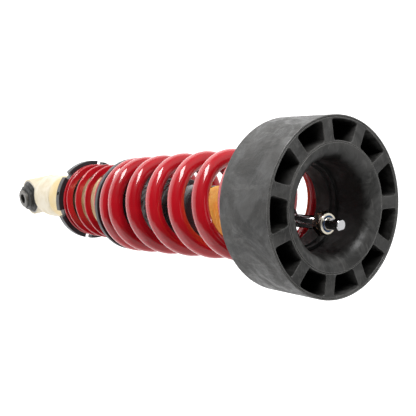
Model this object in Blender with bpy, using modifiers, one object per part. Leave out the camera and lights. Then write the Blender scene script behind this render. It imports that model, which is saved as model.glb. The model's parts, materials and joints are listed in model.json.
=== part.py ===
"""Coil-over suspension strut with a helper spring and a moulded rubber upper isolator.

Units are metres and +Z runs up the strut, from the lower eye to the upper isolator.
The heights below are measured from the centre of the lower eye, whose bush lies along Y.
Once everything is made it is lowered as one, so that the origin of the finished part is
the middle of the rod's top end face, on the damper's axis.
The spring and isolator stand a little off that axis, because nothing centres them until
the strut is bolted to its top mount.
"""

import math

import bmesh
import bpy
from mathutils import Matrix, Vector

# Overall frame
TOP_FACE_Z = 0.5750
GAP = 0.0003
LEAN = Vector((-0.0155, -0.0044, 0.0))

# Lower eye and its bush
EYE_RADIUS = 0.0246
EYE_HALF_WIDTH = 0.0195
BUSH_SHELL_RADIUS = 0.0222
BUSH_RUBBER_RADIUS = 0.0210
BUSH_SLEEVE_RADIUS = 0.0118
BUSH_BOLT_RADIUS = 0.0065
BUSH_SLEEVE_HALF_LENGTH = 0.0310

# Damper body
BODY_RADIUS = 0.02815
BODY_BORE_RADIUS = 0.0253
BODY_BOTTOM_Z = 0.0775
BODY_TOP_Z = 0.3500
SPIGOT_TOP_Z = 0.0910
TUBE_RADIUS = 0.0215
TUBE_BORE_RADIUS = 0.0200
VALVE_PLATE_TOP_Z = 0.0980
GUIDE_BOTTOM_Z = 0.3250
CAP_RADIUS = 0.0260
CAP_TOP_Z = 0.4065
SLEEVE_RADIUS = 0.0315
SLEEVE_BOTTOM_Z = 0.2710
SLEEVE_TOP_Z = 0.3540

# Rod and what it carries
ROD_RADIUS = 0.0090
ROD_SHOULDER_Z = 0.5065
ROD_PISTON_Z = 0.2900
STUD_RADIUS = 0.0057
STUD_TIP_RADIUS = 0.0050
STUD_TIP_FLAT = 0.0039
STUD_TOP_Z = 0.5726
PISTON_RADIUS = 0.0196
PISTON_HEIGHT = 0.0180
PISTON_POST_RADIUS = 0.0050
NUT_BOTTOM_Z = 0.5495
NUT_TOP_Z = 0.5582
NUT_ACROSS_FLATS = 0.0190

# Bump stop
STOP_RADIUS = 0.0268
STOP_END_RADIUS = 0.0242
STOP_BOTTOM_Z = 0.4068
STOP_TOP_Z = 0.4550

# Threaded perch
PERCH_RADIUS = 0.0485
PERCH_TOP_Z = 0.1520
PERCH_FLANGE = 0.0088
PERCH_HUB_RADIUS = 0.0360
PERCH_HUB_BOTTOM_Z = 0.1320
PERCH_NOTCHES = 6
PERCH_NOTCH_WIDTH = 0.0080
PERCH_NOTCH_DEPTH = 0.0045
PERCH_NOTCH_ANGLE = math.radians(39.0)
PERCH_SCREW_ANGLE = math.radians(249.5)
PERCH_SCREW_RADIUS = 0.0021

# Coupler between the two springs
COUPLER_RADIUS = 0.0524
COUPLER_BOTTOM_Z = 0.2500
COUPLER_TOP_Z = 0.2560
COUPLER_LOWER_PILOT = 0.0345
COUPLER_UPPER_PILOT = 0.0355
COUPLER_BORE_RADIUS = 0.0287

# Springs
HELPER_RADIUS = 0.0443
HELPER_BORE_RADIUS = 0.0365
HELPER_THICKNESS = 0.0035
HELPER_TURNS = 5.65
HELPER_END_TURNS = 1.0
HELPER_START_ANGLE = math.radians(175.0)
HELPER_LIFT = 0.0004
MAIN_RADIUS = 0.0532
MAIN_WIRE_RADIUS = 0.0081
MAIN_TURNS = 7.9
MAIN_END_PITCH = 0.0164
MAIN_END_TURNS = 1.2
MAIN_START_ANGLE = math.radians(162.5)
MAIN_TOP_Z = 0.5285

# Upper isolator
ISOLATOR_RADIUS = 0.0750
ISOLATOR_REAR_Z = 0.5156
ISOLATOR_SEAT_RADIUS = 0.0538
ISOLATOR_PILOT_RADIUS = 0.0358
ISOLATOR_PILOT_Z = 0.5155
ISOLATOR_THROAT_RADIUS = 0.0345
ISOLATOR_MOUTH_RADIUS = 0.0525
POCKETS = 11
POCKET_INNER_RADIUS = 0.0545
POCKET_OUTER_RADIUS = 0.0718
POCKET_DEPTH = 0.0300
POCKET_FIRST_ANGLE = 0.0
POCKET_RIB = 0.0109

# Facets round a turn, and steps a turn along a coil
FINE = 36
MEDIUM = 24
COARSE = 16
MAIN_STEPS = 20
HELPER_STEPS = 16


def clear_scene():
    for obj in list(bpy.data.objects):
        bpy.data.objects.remove(obj, do_unlink=True)


def new_collection(name):
    collection = bpy.data.collections.new(name)
    bpy.context.scene.collection.children.link(collection)
    return collection


def make_material(name, colour, roughness, metallic):
    material = bpy.data.materials.new(name)
    material.use_nodes = True
    shader = material.node_tree.nodes["Principled BSDF"]
    shader.inputs["Base Color"].default_value = (*colour, 1.0)
    shader.inputs["Roughness"].default_value = roughness
    shader.inputs["Metallic"].default_value = metallic
    return material


clear_scene()
PARTS = new_collection("strut_assembly")
CUTTERS = new_collection("cutters")

PALE_ZINC = make_material("pale_zinc", (0.88, 0.83, 0.68), 0.45, 0.5)
GOLD_ZINC = make_material("gold_zinc", (0.80, 0.62, 0.28), 0.35, 0.9)
RED_COAT = make_material("red_coat", (0.55, 0.005, 0.02), 0.2, 0.0)
BLACK_ALLOY = make_material("black_alloy", (0.02, 0.02, 0.022), 0.35, 0.8)
BLACK_RUBBER = make_material("black_rubber", (0.05, 0.05, 0.048), 0.7, 0.0)
BLACK_PLASTIC = make_material("black_plastic", (0.02, 0.02, 0.02), 0.35, 0.0)
YELLOW_FOAM = make_material("yellow_foam", (0.85, 0.45, 0.08), 0.6, 0.0)
CHROME = make_material("chrome", (0.75, 0.75, 0.76), 0.12, 1.0)
STEEL = make_material("steel", (0.55, 0.54, 0.52), 0.35, 1.0)
BRASS = make_material("bronze", (0.60, 0.42, 0.20), 0.35, 1.0)
BLUE_NYLON = make_material("blue_nylon", (0.04, 0.15, 0.40), 0.4, 0.0)


def add_object(name, mesh, material=None, collection=PARTS):
    """Link a mesh under a name, with a material for a part and as a wire for a cutter."""
    obj = bpy.data.objects.new(name, mesh)
    collection.objects.link(obj)
    if material is None:
        obj.hide_render = True
        obj.display_type = "WIRE"
    else:
        mesh.materials.clear()
        mesh.materials.append(material)
    return obj


def clean_mesh(mesh):
    """Weld a mesh, face it outwards and shade its round sides smooth."""
    bm = bmesh.new()
    bm.from_mesh(mesh)
    bmesh.ops.remove_doubles(bm, verts=bm.verts, dist=0.000001)
    bmesh.ops.recalc_face_normals(bm, faces=bm.faces)
    bm.to_mesh(mesh)
    bm.free()
    mesh.shade_smooth()
    mesh.set_sharp_from_angle(angle=math.radians(35.0))
    return mesh


def mesh_of(obj):
    """The object's evaluated shape as a clean mesh; the object itself is removed."""
    depsgraph = bpy.context.evaluated_depsgraph_get()
    mesh = bpy.data.meshes.new_from_object(obj.evaluated_get(depsgraph))
    mesh.transform(obj.matrix_world)
    bpy.data.objects.remove(obj, do_unlink=True)
    return clean_mesh(mesh)


def turned(name, profile, steps, material=None, collection=PARTS):
    """Turn a profile of (radius, z) points round Z.

    The points run down the outer side. A profile that starts and ends on the axis is
    solid, and any other is closed into a ring.
    """
    mesh = bpy.data.meshes.new(name)
    count = len(profile)
    edges = [(i, i + 1) for i in range(count - 1)]
    solid = profile[0][0] == 0.0 and profile[-1][0] == 0.0
    if not solid:
        edges.append((count - 1, 0))
    mesh.from_pydata([(radius, 0.0, z) for radius, z in profile], edges, [])
    outline = add_object(name + "_outline", mesh, None, CUTTERS)
    screw = outline.modifiers.new("turn", "SCREW")
    screw.steps = steps
    screw.render_steps = steps
    screw.use_merge_vertices = True
    screw.merge_threshold = 0.00001
    return add_object(name, mesh_of(outline), material, collection)


def ring(name, outer, inner, bottom, top, steps, material, chamfer=0.0):
    """A plain ring about Z, with an optional chamfer on its two outer edges."""
    if chamfer:
        side = [(outer - chamfer, top), (outer, top - chamfer),
                (outer, bottom + chamfer), (outer - chamfer, bottom)]
    else:
        side = [(outer, top), (outer, bottom)]
    return turned(name, [(inner, top)] + side + [(inner, bottom)], steps, material)


def lay_along_y(obj):
    """Turn a piece that was made round Z so that its axis lies along Y."""
    obj.data.transform(Matrix.Rotation(math.radians(90.0), 4, "X"))
    return obj


def boolean(target, other, operation):
    modifier = target.modifiers.new(operation.lower(), "BOOLEAN")
    modifier.operation = operation
    modifier.object = other
    modifier.solver = "EXACT"


def primitive_cutter(name, bm):
    mesh = bpy.data.meshes.new(name)
    bm.to_mesh(mesh)
    bm.free()
    return add_object(name, mesh, None, CUTTERS)


def box_cutter(name, size, centre):
    bm = bmesh.new()
    bmesh.ops.create_cube(bm, size=1.0)
    bmesh.ops.scale(bm, vec=Vector(size), verts=bm.verts)
    bmesh.ops.translate(bm, vec=Vector(centre), verts=bm.verts)
    return primitive_cutter(name, bm)


def prism_cutter(name, radius, bottom, top, segments):
    """An upright prism: six segments make a hexagon, and many make a cylinder."""
    bm = bmesh.new()
    bmesh.ops.create_cone(bm, cap_ends=True, segments=segments, radius1=radius,
                          radius2=radius, depth=top - bottom)
    bmesh.ops.translate(bm, vec=(0.0, 0.0, (top + bottom) / 2), verts=bm.verts)
    return primitive_cutter(name, bm)


def hex_radius(across_flats):
    return across_flats / math.sqrt(3.0)


def smooth_step(value):
    value = min(max(value, 0.0), 1.0)
    return value * value * (3.0 - 2.0 * value)


def polar(radius, angle, z):
    return Vector((radius * math.cos(angle), radius * math.sin(angle), z))


def coil_curve(name, points):
    """A straight-sided curve through the points of a coil, kept level by Z."""
    curve = bpy.data.curves.new(name, "CURVE")
    curve.dimensions = "3D"
    curve.twist_mode = "Z_UP"
    curve.use_fill_caps = True
    spline = curve.splines.new("POLY")
    spline.points.add(len(points) - 1)
    for point, place in zip(spline.points, points):
        point.co = (*place, 1.0)
    obj = bpy.data.objects.new(name + "_line", curve)
    CUTTERS.objects.link(obj)
    return obj


# ---------------------------------------------------------------- lower eye

def make_lower_mount():
    """Forged lower end: a hollow boss that tapers into the eye, bored for the bush."""
    mount = turned("lower_mount", [
        (0.0, 0.0600),
        (0.0150, 0.0600),
        (0.0150, SPIGOT_TOP_Z),
        (BODY_BORE_RADIUS - GAP, SPIGOT_TOP_Z),
        (BODY_BORE_RADIUS - GAP, BODY_BOTTOM_Z - GAP),
        (BODY_RADIUS, BODY_BOTTOM_Z - GAP),
        (BODY_RADIUS, 0.0400),
        (0.0272, 0.0320),
        (0.0218, 0.0140),
        (0.0200, 0.0000),
        (0.0, -0.0040),
    ], MEDIUM, PALE_ZINC)
    eye = lay_along_y(turned("eye_stock", [
        (0.0, EYE_HALF_WIDTH),
        (EYE_RADIUS - 0.0010, EYE_HALF_WIDTH),
        (EYE_RADIUS, EYE_HALF_WIDTH - 0.0010),
        (EYE_RADIUS, -EYE_HALF_WIDTH + 0.0010),
        (EYE_RADIUS - 0.0010, -EYE_HALF_WIDTH),
        (0.0, -EYE_HALF_WIDTH),
    ], MEDIUM, None, CUTTERS))
    bore = lay_along_y(turned("eye_bore", [
        (0.0, 0.0400),
        (BUSH_SHELL_RADIUS + GAP, 0.0400),
        (BUSH_SHELL_RADIUS + GAP, -0.0400),
        (0.0, -0.0400),
    ], MEDIUM, None, CUTTERS))
    boolean(mount, eye, "UNION")
    boolean(mount, bore, "DIFFERENCE")


def make_bush():
    """Bonded bush: a thin steel shell, a stepped rubber body and a bolt sleeve."""
    half = EYE_HALF_WIDTH
    lay_along_y(ring("bush_shell", BUSH_SHELL_RADIUS, BUSH_RUBBER_RADIUS + GAP,
                     -half, half, MEDIUM, STEEL))
    end = [(0.0150, 0.0275), (0.0160, 0.0255), (0.0158, 0.0240),
           (0.0190, 0.0210), (BUSH_RUBBER_RADIUS, 0.0190)]
    inner = BUSH_SLEEVE_RADIUS + GAP
    lay_along_y(turned("bush_rubber", [(inner, 0.0275)] + end
                       + [(radius, -y) for radius, y in reversed(end)]
                       + [(inner, -0.0275)], MEDIUM, BLACK_RUBBER))
    lay_along_y(ring("bush_sleeve", BUSH_SLEEVE_RADIUS, BUSH_BOLT_RADIUS,
                     -BUSH_SLEEVE_HALF_LENGTH, BUSH_SLEEVE_HALF_LENGTH,
                     MEDIUM, STEEL, 0.0008))


# ---------------------------------------------------------------- damper body

def make_body_tubes():
    ring("body_tube", BODY_RADIUS, BODY_BORE_RADIUS, BODY_BOTTOM_Z, BODY_TOP_Z,
         MEDIUM, GOLD_ZINC)
    ring("pressure_tube", TUBE_RADIUS, TUBE_BORE_RADIUS, VALVE_PLATE_TOP_Z + GAP,
         GUIDE_BOTTOM_Z - GAP, MEDIUM, STEEL)


def make_base_valve():
    """Foot valve: a stepped plate with its disc and the bolt that holds both."""
    bolt = 0.0030
    step_top = VALVE_PLATE_TOP_Z + 0.0110
    turned("base_valve", [
        (bolt + GAP, step_top),
        (TUBE_BORE_RADIUS - GAP, step_top),
        (TUBE_BORE_RADIUS - GAP, VALVE_PLATE_TOP_Z),
        (BODY_BORE_RADIUS - GAP, VALVE_PLATE_TOP_Z),
        (BODY_BORE_RADIUS - GAP, SPIGOT_TOP_Z + GAP),
        (bolt + GAP, SPIGOT_TOP_Z + GAP),
    ], MEDIUM, STEEL)
    ring("base_valve_disc", 0.0130, bolt + GAP, step_top + GAP, step_top + 0.0013,
         COARSE, STEEL)
    head_bottom = step_top + 0.0016
    turned("base_valve_bolt", [
        (0.0, head_bottom + 0.0040),
        (0.0055, head_bottom + 0.0040),
        (0.0055, head_bottom),
        (bolt, head_bottom),
        (bolt, SPIGOT_TOP_Z - 0.0080),
        (0.0, SPIGOT_TOP_Z - 0.0080),
    ], COARSE, STEEL)


def make_rod_guide():
    """Rod guide with its sintered bush, closed above by the seal cap."""
    bush_outer = ROD_RADIUS + 0.0018
    turned("rod_guide", [
        (bush_outer + GAP, BODY_TOP_Z - 0.0153),
        (BODY_BORE_RADIUS - GAP, BODY_TOP_Z - 0.0153),
        (BODY_BORE_RADIUS - GAP, GUIDE_BOTTOM_Z),
        (TUBE_BORE_RADIUS - GAP, GUIDE_BOTTOM_Z),
        (TUBE_BORE_RADIUS - GAP, GUIDE_BOTTOM_Z - 0.0120),
        (bush_outer + GAP, GUIDE_BOTTOM_Z - 0.0120),
    ], MEDIUM, STEEL)
    ring("guide_bush", bush_outer, ROD_RADIUS + GAP, GUIDE_BOTTOM_Z - 0.0115,
         BODY_TOP_Z - 0.0158, COARSE, BRASS)


def make_seal_cap():
    """Screwed cap with a rounded shoulder, its O-ring, rod seal and wiper."""
    spigot_bottom = BODY_TOP_Z - 0.0150
    ring_z = BODY_TOP_Z - 0.0070
    round_radius = 0.0060
    round_centre = Vector((CAP_RADIUS - round_radius, CAP_TOP_Z - round_radius))
    shoulder = []
    for step in range(5):
        angle = math.radians(90.0 - 22.5 * step)
        shoulder.append((round_centre.x + round_radius * math.cos(angle),
                         round_centre.y + round_radius * math.sin(angle)))
    turned("seal_cap", [(0.0110, CAP_TOP_Z)] + shoulder + [
        (CAP_RADIUS, BODY_TOP_Z + GAP),
        (BODY_BORE_RADIUS - GAP, BODY_TOP_Z + GAP),
        (BODY_BORE_RADIUS - GAP, ring_z + 0.0018),
        (0.0222, ring_z + 0.0018),
        (0.0222, ring_z - 0.0018),
        (BODY_BORE_RADIUS - GAP, ring_z - 0.0018),
        (BODY_BORE_RADIUS - GAP, spigot_bottom),
        (0.0150, spigot_bottom),
        (0.0150, spigot_bottom + 0.0110),
        (ROD_RADIUS + 0.0005, spigot_bottom + 0.0110),
        (ROD_RADIUS + 0.0005, CAP_TOP_Z - 0.0080),
        (0.0110, CAP_TOP_Z - 0.0080),
    ], MEDIUM, BLACK_ALLOY)
    ring("cap_seal_ring", 0.0249, 0.0225, ring_z - 0.0014, ring_z + 0.0014,
         MEDIUM, BLACK_RUBBER, 0.0006)
    ring("rod_seal", 0.0147, ROD_RADIUS + GAP, spigot_bottom + 0.0010,
         spigot_bottom + 0.0105, COARSE, BLACK_RUBBER, 0.0010)
    ring("rod_wiper", 0.0107, ROD_RADIUS + GAP, CAP_TOP_Z - 0.0075,
         CAP_TOP_Z - 0.0005, COARSE, BLACK_RUBBER, 0.0005)


def make_body_sleeve():
    """Rubber sleeve over the top of the body, with two soft folds and a rolled lip."""
    inner = BODY_RADIUS + GAP
    folds = 4
    side = []
    for step in range(folds + 1):
        share = step / folds
        bulge = 0.0006 * math.cos(share * 4.0 * math.pi)
        z = SLEEVE_TOP_Z - 0.0020 - share * (SLEEVE_TOP_Z - SLEEVE_BOTTOM_Z - 0.0030)
        side.append((SLEEVE_RADIUS - 0.0006 + bulge, z))
    turned("body_sleeve", [
        (CAP_RADIUS + 0.0004, SLEEVE_TOP_Z),
        (SLEEVE_RADIUS - 0.0020, SLEEVE_TOP_Z),
    ] + side + [
        (SLEEVE_RADIUS - 0.0010, SLEEVE_BOTTOM_Z),
        (inner, SLEEVE_BOTTOM_Z),
        (inner, BODY_TOP_Z + GAP),
        (CAP_RADIUS + 0.0004, BODY_TOP_Z + GAP),
    ], MEDIUM, BLACK_RUBBER)


# ---------------------------------------------------------------- rod

def make_rod():
    """One bar: piston post, rod, M12 stud and a tip with two wrench flats."""
    rod = turned("piston_rod", [
        (0.0, STUD_TOP_Z),
        (STUD_TIP_RADIUS - 0.0007, STUD_TOP_Z),
        (STUD_TIP_RADIUS, STUD_TOP_Z - 0.0007),
        (STUD_TIP_RADIUS, STUD_TOP_Z - 0.0110),
        (STUD_RADIUS, STUD_TOP_Z - 0.0125),
        (STUD_RADIUS, ROD_SHOULDER_Z),
        (ROD_RADIUS, ROD_SHOULDER_Z),
        (ROD_RADIUS, ROD_PISTON_Z),
        (PISTON_POST_RADIUS, ROD_PISTON_Z),
        (PISTON_POST_RADIUS, ROD_PISTON_Z - 0.0400),
        (0.0, ROD_PISTON_Z - 0.0400),
    ], COARSE, CHROME)
    for side in (-1, 1):
        flat = box_cutter("stud_flat_%d" % (side + 1), (0.0040, 0.0200, 0.0110),
                          (side * (STUD_TIP_FLAT + 0.0020), 0.0, STUD_TOP_Z - 0.0045))
        boolean(rod, flat, "DIFFERENCE")


def make_piston():
    """Piston with its band, a shim stack on each face, the nut and the rebound stop."""
    bore = PISTON_POST_RADIUS + GAP
    top = ROD_PISTON_Z - 0.0040
    bottom = top - PISTON_HEIGHT
    groove = PISTON_RADIUS - 0.0014
    turned("piston", [
        (bore, top),
        (PISTON_RADIUS, top),
        (PISTON_RADIUS, top - 0.0040),
        (groove, top - 0.0040),
        (groove, bottom + 0.0040),
        (PISTON_RADIUS, bottom + 0.0040),
        (PISTON_RADIUS, bottom),
        (bore, bottom),
    ], MEDIUM, STEEL)
    ring("piston_band", PISTON_RADIUS + 0.0001, groove + GAP, bottom + 0.0043,
         top - 0.0043, MEDIUM, BLACK_PLASTIC)
    ring("compression_shims", 0.0150, bore, top + GAP, ROD_PISTON_Z - GAP, COARSE, STEEL)
    ring("rebound_shims", 0.0135, bore, bottom - 0.0035, bottom - GAP, COARSE, STEEL)
    nut_top = bottom - 0.0038
    nut = turned("piston_nut", [
        (bore, nut_top),
        (0.0110, nut_top),
        (0.0110, nut_top - 0.0100),
        (bore, nut_top - 0.0100),
    ], COARSE, STEEL)
    boolean(nut, prism_cutter("piston_nut_hexagon", hex_radius(0.0170),
                              nut_top - 0.0200, nut_top + 0.0100, 6), "INTERSECT")
    ring("rebound_stop", 0.0140, ROD_RADIUS + GAP, ROD_PISTON_Z + GAP,
         ROD_PISTON_Z + 0.0150, COARSE, YELLOW_FOAM, 0.0010)


def make_top_fasteners():
    """Shoulder washer, collared lock nut and its nylon insert."""
    bore = STUD_RADIUS + GAP
    turned("shoulder_washer", [
        (bore, ROD_SHOULDER_Z + 0.0048),
        (0.0095, ROD_SHOULDER_Z + 0.0048),
        (0.0118, ROD_SHOULDER_Z + 0.0030),
        (0.0118, ROD_SHOULDER_Z + GAP),
        (bore, ROD_SHOULDER_Z + GAP),
    ], COARSE, BLACK_ALLOY)
    collar = 0.0092
    collar_bottom = NUT_TOP_Z - 0.0030
    nut = turned("top_nut", [
        (0.0070, NUT_TOP_Z),
        (collar - 0.0006, NUT_TOP_Z),
        (collar, NUT_TOP_Z - 0.0006),
        (collar, collar_bottom),
        (0.0110, collar_bottom - 0.0008),
        (0.0110, NUT_BOTTOM_Z + 0.0006),
        (0.0104, NUT_BOTTOM_Z),
        (bore, NUT_BOTTOM_Z),
        (bore, collar_bottom - 0.0008),
        (0.0083, collar_bottom - 0.0008),
        (0.0083, NUT_TOP_Z - 0.0006),
        (0.0070, NUT_TOP_Z - 0.0006),
    ], COARSE, STEEL)
    boolean(nut, prism_cutter("top_nut_hexagon", hex_radius(NUT_ACROSS_FLATS),
                              NUT_BOTTOM_Z - 0.0100, NUT_TOP_Z + 0.0100, 6), "INTERSECT")
    ring("nylon_insert", 0.0080, bore, collar_bottom - 0.0005, NUT_TOP_Z - 0.0009,
         COARSE, BLUE_NYLON)


def make_bump_stop():
    """Foam bump stop that narrows upwards from its blunt foot, with a groove round it."""
    bore = ROD_RADIUS + 0.0004
    height = STOP_TOP_Z - STOP_BOTTOM_Z
    side = []
    for share, pinch in ((0.0, 0.0015), (0.04, 0.0), (0.28, 0.0), (0.36, 0.0022),
                         (0.44, 0.0), (0.95, 0.0), (1.0, 0.0015)):
        taper = (1.0 - share) * (STOP_RADIUS - STOP_END_RADIUS)
        side.append((STOP_RADIUS - taper - pinch, STOP_TOP_Z - share * height))
    turned("bump_stop", [(bore, STOP_TOP_Z)] + side + [(bore, STOP_BOTTOM_Z)],
           MEDIUM, YELLOW_FOAM)


# ---------------------------------------------------------------- perch and coupler

def make_perch():
    """Threaded lower seat: a flange with wrench notches, a hub and a lock screw."""
    bore = BODY_RADIUS + 0.0004
    flange_bottom = PERCH_TOP_Z - PERCH_FLANGE
    middle_z = PERCH_TOP_Z - PERCH_FLANGE / 2
    perch = turned("perch", [
        (bore, PERCH_TOP_Z),
        (PERCH_RADIUS - 0.0006, PERCH_TOP_Z),
        (PERCH_RADIUS, PERCH_TOP_Z - 0.0006),
        (PERCH_RADIUS, flange_bottom + 0.0006),
        (PERCH_RADIUS - 0.0006, flange_bottom),
        (PERCH_HUB_RADIUS, flange_bottom),
        (PERCH_HUB_RADIUS, PERCH_HUB_BOTTOM_Z + 0.0010),
        (PERCH_HUB_RADIUS - 0.0010, PERCH_HUB_BOTTOM_Z),
        (bore, PERCH_HUB_BOTTOM_Z),
    ], FINE, BLACK_ALLOY)
    reach = 0.0200
    centre = PERCH_RADIUS - PERCH_NOTCH_DEPTH + reach / 2
    for index in range(PERCH_NOTCHES):
        notch = box_cutter("perch_notch_%d" % index, (reach, PERCH_NOTCH_WIDTH, 0.0200),
                           (centre, 0.0, middle_z))
        notch.data.transform(Matrix.Rotation(
            PERCH_NOTCH_ANGLE + index * 2.0 * math.pi / PERCH_NOTCHES, 4, "Z"))
        boolean(perch, notch, "DIFFERENCE")
    place = (Matrix.Rotation(PERCH_SCREW_ANGLE, 4, "Z")
             @ Matrix.Translation((0.0, 0.0, middle_z))
             @ Matrix.Rotation(math.radians(90.0), 4, "Y"))
    hole = prism_cutter("perch_screw_hole", PERCH_SCREW_RADIUS + GAP, 0.0200, 0.0600, 16)
    hole.data.transform(place)
    boolean(perch, hole, "DIFFERENCE")
    screw = turned("perch_screw", [
        (0.0, 0.0435),
        (0.0010, 0.0435),
        (0.0010, 0.0455),
        (PERCH_SCREW_RADIUS, 0.0455),
        (PERCH_SCREW_RADIUS, 0.0300),
        (0.0014, 0.0290),
        (0.0, 0.0290),
    ], 16, STEEL)
    screw.data.transform(place)


def make_coupler():
    """Sliding seat between the springs, with a pilot into each of them."""
    lower_pilot_z = COUPLER_BOTTOM_Z - 0.0080
    upper_pilot_z = COUPLER_TOP_Z + 0.0140
    turned("coupler", [
        (SLEEVE_RADIUS + 0.0010, upper_pilot_z),
        (COUPLER_UPPER_PILOT - 0.0010, upper_pilot_z),
        (COUPLER_UPPER_PILOT, upper_pilot_z - 0.0010),
        (COUPLER_UPPER_PILOT, COUPLER_TOP_Z),
        (COUPLER_RADIUS - 0.0006, COUPLER_TOP_Z),
        (COUPLER_RADIUS, COUPLER_TOP_Z - 0.0006),
        (COUPLER_RADIUS, COUPLER_BOTTOM_Z + 0.0006),
        (COUPLER_RADIUS - 0.0006, COUPLER_BOTTOM_Z),
        (COUPLER_LOWER_PILOT, COUPLER_BOTTOM_Z),
        (COUPLER_LOWER_PILOT, lower_pilot_z + 0.0010),
        (COUPLER_LOWER_PILOT - 0.0010, lower_pilot_z),
        (COUPLER_BORE_RADIUS, lower_pilot_z),
        (COUPLER_BORE_RADIUS, COUPLER_TOP_Z),
        (SLEEVE_RADIUS + 0.0010, COUPLER_TOP_Z),
    ], FINE, BLACK_ALLOY)


# ---------------------------------------------------------------- springs

def coil_heights(turns, end_turns, end_pitch, height, turn_steps):
    """Heights along a coil whose closed ends rise slowly and whose middle fills the rest.

    The rise a turn blends from the end pitch to the middle pitch over one turn beside
    each closed end, so the middle pitch follows from the whole height.
    """
    steps = round(turns * turn_steps)

    def middle_share(turn):
        near_end = min(turn, turns - turn)
        return smooth_step(near_end - end_turns + 0.5)

    shares = [middle_share((step + 0.5) / turn_steps) for step in range(steps)]
    middle_turns = sum(shares) / turn_steps
    extra = (height - end_pitch * turns) / middle_turns
    heights = [0.0]
    for share in shares:
        heights.append(heights[-1] + (end_pitch + extra * share) / turn_steps)
    return heights


def make_main_spring():
    """Round-wire coil with closed, ground ends, leaning with the isolator it carries."""
    wire = MAIN_WIRE_RADIUS
    bottom = COUPLER_TOP_Z + GAP
    mean = MAIN_RADIUS - wire
    centre_span = MAIN_TOP_Z - bottom - wire
    heights = coil_heights(MAIN_TURNS, MAIN_END_TURNS, MAIN_END_PITCH, centre_span,
                           MAIN_STEPS)
    points = []
    for step, height in enumerate(heights):
        angle = MAIN_START_ANGLE + step * 2.0 * math.pi / MAIN_STEPS
        place = polar(mean, angle, bottom + wire / 2 + height)
        points.append(place + LEAN * (height / centre_span))
    line = coil_curve("main_spring", points)
    line.data.bevel_depth = wire
    line.data.bevel_resolution = 2
    spring = add_object("main_spring", mesh_of(line), RED_COAT)
    slab = 0.0300
    for name, z in (("main_ground_bottom", bottom - slab / 2),
                    ("main_ground_top", MAIN_TOP_Z + slab / 2)):
        boolean(spring, box_cutter(name, (0.2, 0.2, slab), (0.0, 0.0, z)), "DIFFERENCE")


def make_helper_spring():
    """Flat-wire coil, wound on edge, with closed ends."""
    bottom = PERCH_TOP_Z + GAP
    top = COUPLER_BOTTOM_Z - GAP
    width = HELPER_RADIUS - HELPER_BORE_RADIUS
    section = bpy.data.curves.new("helper_section", "CURVE")
    section.dimensions = "2D"
    outline = section.splines.new("POLY")
    outline.points.add(3)
    outline.use_cyclic_u = True
    corners = ((-1, -1), (1, -1), (1, 1), (-1, 1))
    for point, (x, y) in zip(outline.points, corners):
        point.co = (x * width / 2, y * HELPER_THICKNESS / 2, 0.0, 1.0)
    guide = bpy.data.objects.new("helper_section", section)
    CUTTERS.objects.link(guide)
    centre_z = bottom + HELPER_THICKNESS / 2 + HELPER_LIFT
    span = top - bottom - HELPER_THICKNESS - 2 * HELPER_LIFT
    heights = coil_heights(HELPER_TURNS, HELPER_END_TURNS, HELPER_THICKNESS + HELPER_LIFT,
                           span, HELPER_STEPS)
    mean = (HELPER_RADIUS + HELPER_BORE_RADIUS) / 2
    points = []
    for step, height in enumerate(heights):
        angle = HELPER_START_ANGLE + step * 2.0 * math.pi / HELPER_STEPS
        points.append(polar(mean, angle, centre_z + height))
    line = coil_curve("helper_spring", points)
    line.data.bevel_mode = "OBJECT"
    line.data.bevel_object = guide
    mesh = mesh_of(line)
    bpy.data.objects.remove(guide, do_unlink=True)
    add_object("helper_spring", mesh, RED_COAT)


# ---------------------------------------------------------------- isolator

def pocket_cutter(name, angle):
    """One pocket between two ribs of constant width, as a solid ready to cut."""
    half_pitch = math.pi / POCKETS
    top = TOP_FACE_Z + 0.0100
    bottom = TOP_FACE_Z - POCKET_DEPTH

    def half_angle(radius):
        return half_pitch - math.asin(POCKET_RIB / 2 / radius)

    arc_steps = 4
    outline = []
    for radius, sign in ((POCKET_INNER_RADIUS, 1), (POCKET_OUTER_RADIUS, -1)):
        for step in range(arc_steps + 1):
            share = sign * (2.0 * step / arc_steps - 1.0)
            turn = angle + share * half_angle(radius)
            outline.append((radius * math.cos(turn), radius * math.sin(turn)))
    curve = bpy.data.curves.new(name, "CURVE")
    curve.dimensions = "2D"
    curve.fill_mode = "BOTH"
    curve.extrude = (top - bottom) / 2
    spline = curve.splines.new("POLY")
    spline.points.add(len(outline) - 1)
    spline.use_cyclic_u = True
    for point, (x, y) in zip(spline.points, outline):
        point.co = (x, y, 0.0, 1.0)
    flat = bpy.data.objects.new(name + "_outline", curve)
    CUTTERS.objects.link(flat)
    mesh = mesh_of(flat)
    mesh.transform(Matrix.Translation((0.0, 0.0, (top + bottom) / 2)))
    return add_object(name, mesh, None, CUTTERS)


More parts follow.
